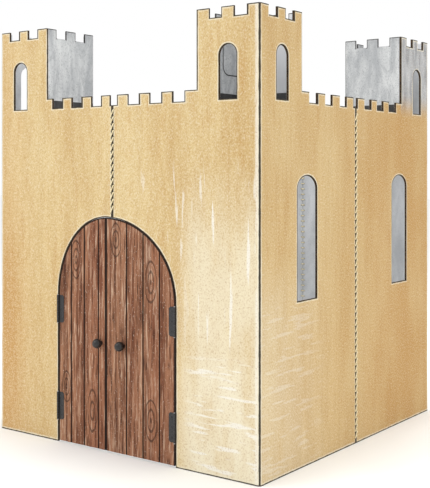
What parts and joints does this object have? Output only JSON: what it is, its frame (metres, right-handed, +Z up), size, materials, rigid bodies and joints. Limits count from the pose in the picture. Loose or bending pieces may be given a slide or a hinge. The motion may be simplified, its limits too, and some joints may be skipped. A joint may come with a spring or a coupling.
{
  "type": "cardboard play castle",
  "caption": "Child-size cardboard play castle with battlements, corner towers, arched windows and hinged double doors.",
  "frame": {"origin": "centre of the bounding box on the floor", "axes": "+Z up, -Y out of the front wall with the doors, +X to the castle's right seen from the front"},
  "size_m": [1.209, 1.2814, 1.516],
  "materials": {
    "wall_board": "matte printed kraft board",
    "inner_board": "matte grey printed board",
    "door_board": "matte brown printed board",
    "cord": "pale cotton cord",
    "black_metal": "black painted steel",
    "pin": "steel",
    "washer": "zinc plated",
    "knob": "black painted turned wood"
  },
  "bodies": {
    "castle": {"front_left_wall_panel": "wall_board", "front_right_wall_panel": "wall_board", "back_right_wall_panel": "wall_board", "back_left_wall_panel": "wall_board", "front_left_tower_inner_wall": "inner_board", "front_right_tower_inner_wall": "inner_board", "back_right_tower_inner_wall": "inner_board", "front_seam_lacing": "cord", "right_seam_lacing": "cord", "back_seam_lacing": "cord", "left_seam_lacing": "cord", "left_wall_plate_screws": "black_metal", "left_lower_hinge_wall_plate": "black_metal", "left_lower_hinge_pin": "pin", "left_upper_hinge_wall_plate": "black_metal", "left_upper_hinge_pin": "pin", "right_wall_plate_screws": "black_metal", "right_lower_hinge_wall_plate": "black_metal", "right_lower_hinge_pin": "pin", "right_upper_hinge_wall_plate": "black_metal", "right_upper_hinge_pin": "pin"},
    "left_door": {"left_door_leaf": "door_board", "left_door_knob": "knob", "left_knob_washer": "washer", "left_knob_screw": "washer", "left_door_plate_rivets": "black_metal", "left_lower_hinge_door_plate": "black_metal", "left_upper_hinge_door_plate": "black_metal"},
    "right_door": {"right_door_leaf": "door_board", "right_door_knob": "knob", "right_knob_washer": "washer", "right_knob_screw": "washer", "right_door_plate_rivets": "black_metal", "right_lower_hinge_door_plate": "black_metal", "right_upper_hinge_door_plate": "black_metal"}
  },
  "joints": [
    {"name": "left_door_hinge", "type": "hinge", "parent": "castle", "child": "left_door", "pos_m": [-0.287, -0.60815, 0.3085], "axis": [0, 0, -1], "range_deg": [0, 160]},
    {"name": "right_door_hinge", "type": "hinge", "parent": "castle", "child": "right_door", "pos_m": [0.2605, -0.60815, 0.3085], "axis": [0, 0, 1], "range_deg": [0, 160]}
  ]
}
